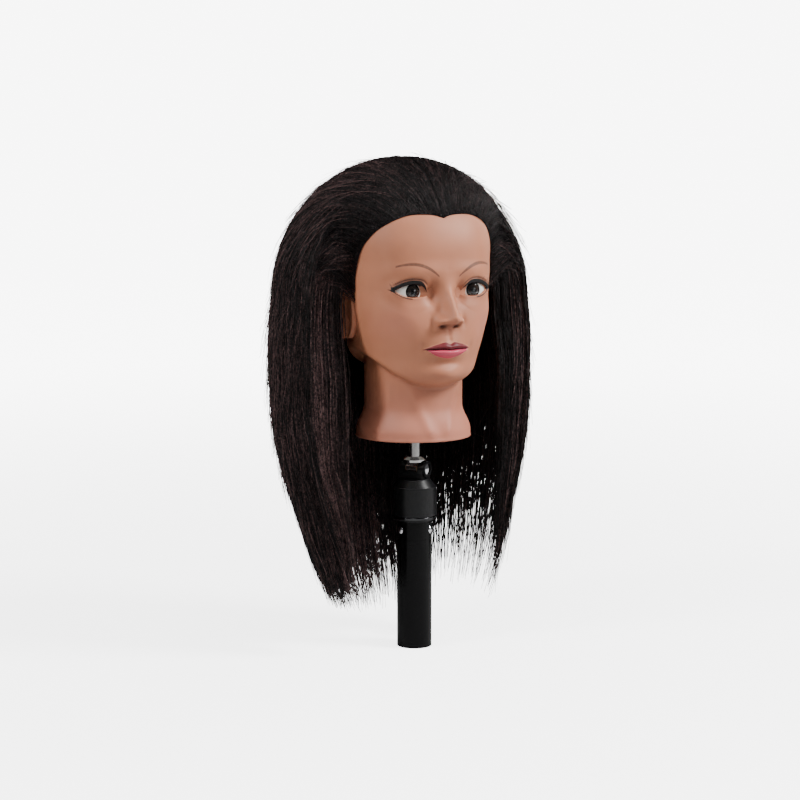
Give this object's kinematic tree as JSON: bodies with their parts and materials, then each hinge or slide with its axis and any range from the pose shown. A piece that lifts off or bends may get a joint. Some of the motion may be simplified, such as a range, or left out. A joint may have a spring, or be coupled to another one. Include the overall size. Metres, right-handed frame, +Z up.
{
  "type": "hairdressing mannequin training head",
  "caption": "Mannequin training head with long brushed-back hair, on a swivelling and tilting clamp at the top of a round stand post.",
  "frame": {"origin": "centre of the post tube's open lower end", "axes": "+Z up along the post; the face looks along -Y; +X is the head's left-hand side"},
  "size_m": [0.2796, 0.227, 0.494],
  "materials": {
    "skin": "matte",
    "eye_white": "gloss",
    "iris": "gloss",
    "cornea": "gloss",
    "lash": "matte",
    "hair": "satin",
    "foam": "matte",
    "black_enamel": "gloss",
    "black_plastic": "satin",
    "chrome": "polished",
    "steel": "satin",
    "nylon": "satin",
    "grey_plastic": "matte"
  },
  "bodies": {
    "post": {"post_tube": "black_enamel", "post_insert": "black_plastic", "rivets": "chrome", "swivel_ring": "chrome"},
    "clamp_head": {"swivel_spindle": "steel", "wave_washer": "steel", "swivel_nut": "steel", "thrust_washer": "nylon", "fork_housing": "black_plastic", "tilt_bolt": "chrome", "bolt_ring": "black_plastic", "tilt_nut": "steel", "friction_discs": "nylon"},
    "stem": {"stem_knuckle": "steel", "stem_pin": "steel"},
    "sleeve": {"pin_sleeve": "grey_plastic"},
    "head": {"neck_socket": "grey_plastic", "base_plug": "skin", "foam_core": "foam", "head_shell": "skin", "eye_whites": "eye_white", "irises": "iris", "corneas": "cornea", "lashes": "lash", "hair_crown": "hair"},
    "hair_lengths": {"hair_back": "hair", "hair_left": "hair", "hair_right": "hair"}
  },
  "joints": [
    {"name": "swivel", "type": "hinge", "parent": "post", "child": "clamp_head", "pos_m": [0, 0, 0.134], "axis": [0, 0, 1], "continuous": true},
    {"name": "tilt", "type": "hinge", "parent": "clamp_head", "child": "stem", "pos_m": [0, 0, 0.1813], "axis": [0.5446, -0.8387, 0], "range_deg": [-30, 30], "deforming": ["hair_back", "hair_left", "hair_right"]},
    {"name": "head_turn", "type": "hinge", "parent": "stem", "child": "sleeve", "pos_m": [0, 0, 0.2153], "axis": [0, 0, 1], "continuous": true},
    {"name": "lift_off", "type": "slide", "parent": "sleeve", "child": "head", "axis": [0, 0, 1], "range_m": [0, 0.07]},
    {"name": "hair_fall", "type": "hinge", "parent": "head", "child": "hair_lengths", "pos_m": [0, 0, 0.3], "axis": [0.5446, -0.8387, 0], "range_deg": [-31, 31]}
  ],
  "couplings": [
    {"joint": "hair_fall", "follows": "tilt", "ratio": -1}
  ]
}
